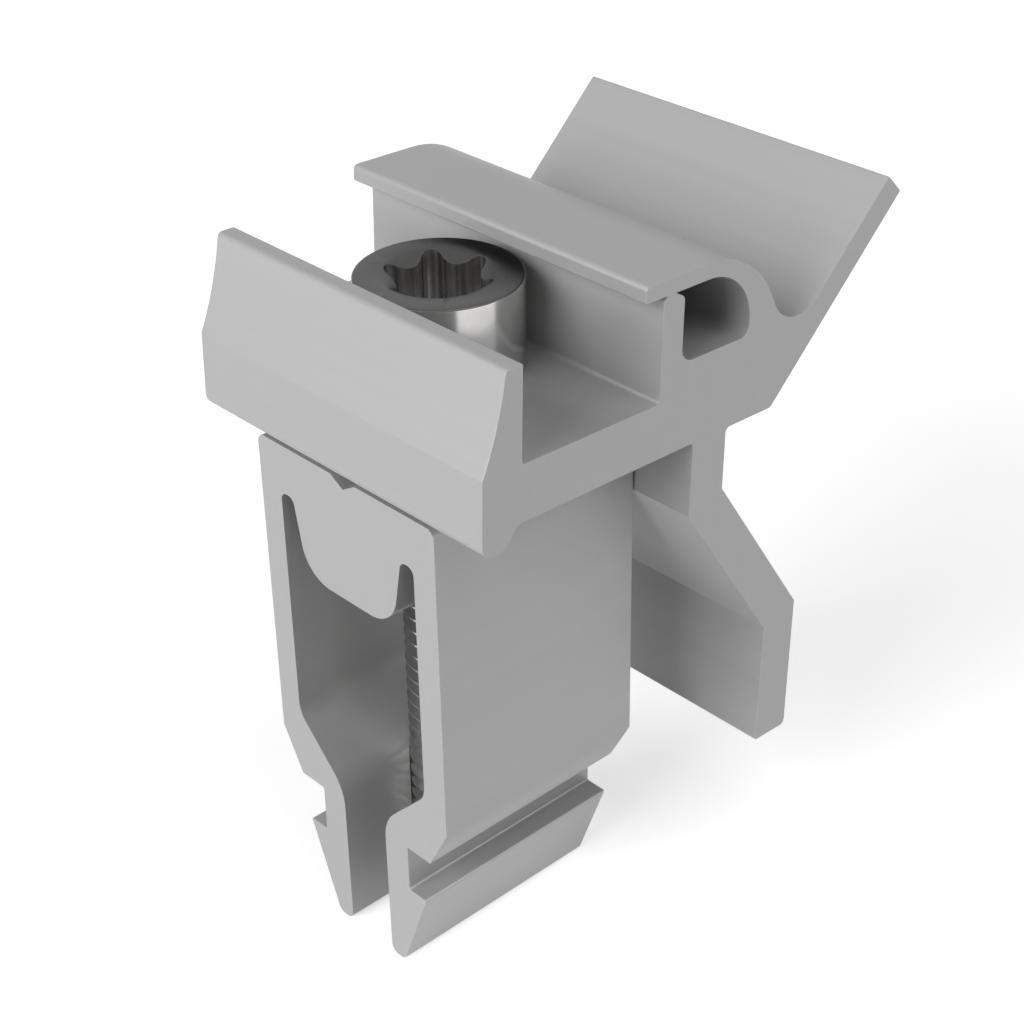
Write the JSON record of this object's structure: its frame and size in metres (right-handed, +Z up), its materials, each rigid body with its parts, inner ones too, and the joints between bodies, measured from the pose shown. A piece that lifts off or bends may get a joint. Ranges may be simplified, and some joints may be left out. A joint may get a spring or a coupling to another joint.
{
  "type": "solar panel clamp",
  "caption": "Clamp for solar panel frames: a foot that snaps into a rail, a cap with a jaw, wing and kinked leg, and a screw that draws the cap down on the foot.",
  "frame": {"origin": "on the screw's axis at the level of the rail's top, in the plane of the undersides of the foot's shoulders", "axes": "+Z points up out of the rail along the screw, X runs along the rail with the jaw towards -X and the wing towards +X, and Y runs across the rail along the cap's extrusion"},
  "size_m": [0.0447, 0.0324, 0.0616],
  "materials": {
    "foot_aluminium": "plain extruded aluminium with fine lines along the extrusion and sawn ends",
    "cap_aluminium": "plain extruded aluminium with fine lines along the extrusion and sawn ends",
    "screw_steel": "smooth stainless steel, cold formed, with a rolled thread"
  },
  "bodies": {
    "foot": {"rail_foot": "foot_aluminium"},
    "cap": {"clamp_cap": "cap_aluminium"},
    "screw": {"clamp_screw": "screw_steel"}
  },
  "joints": [
    {"name": "cap_lift", "type": "slide", "parent": "foot", "child": "cap", "axis": [0, 0, 1], "range_m": [0, 0.0325]},
    {"name": "screw_turn", "type": "hinge", "parent": "cap", "child": "screw", "pos_m": [0, 0, 0.0391], "axis": [0, 0, 1], "range_deg": [0, 9360]}
  ],
  "couplings": [
    {"joint": "screw_turn", "follows": "cap_lift", "rad_per_m": 5026.5}
  ]
}
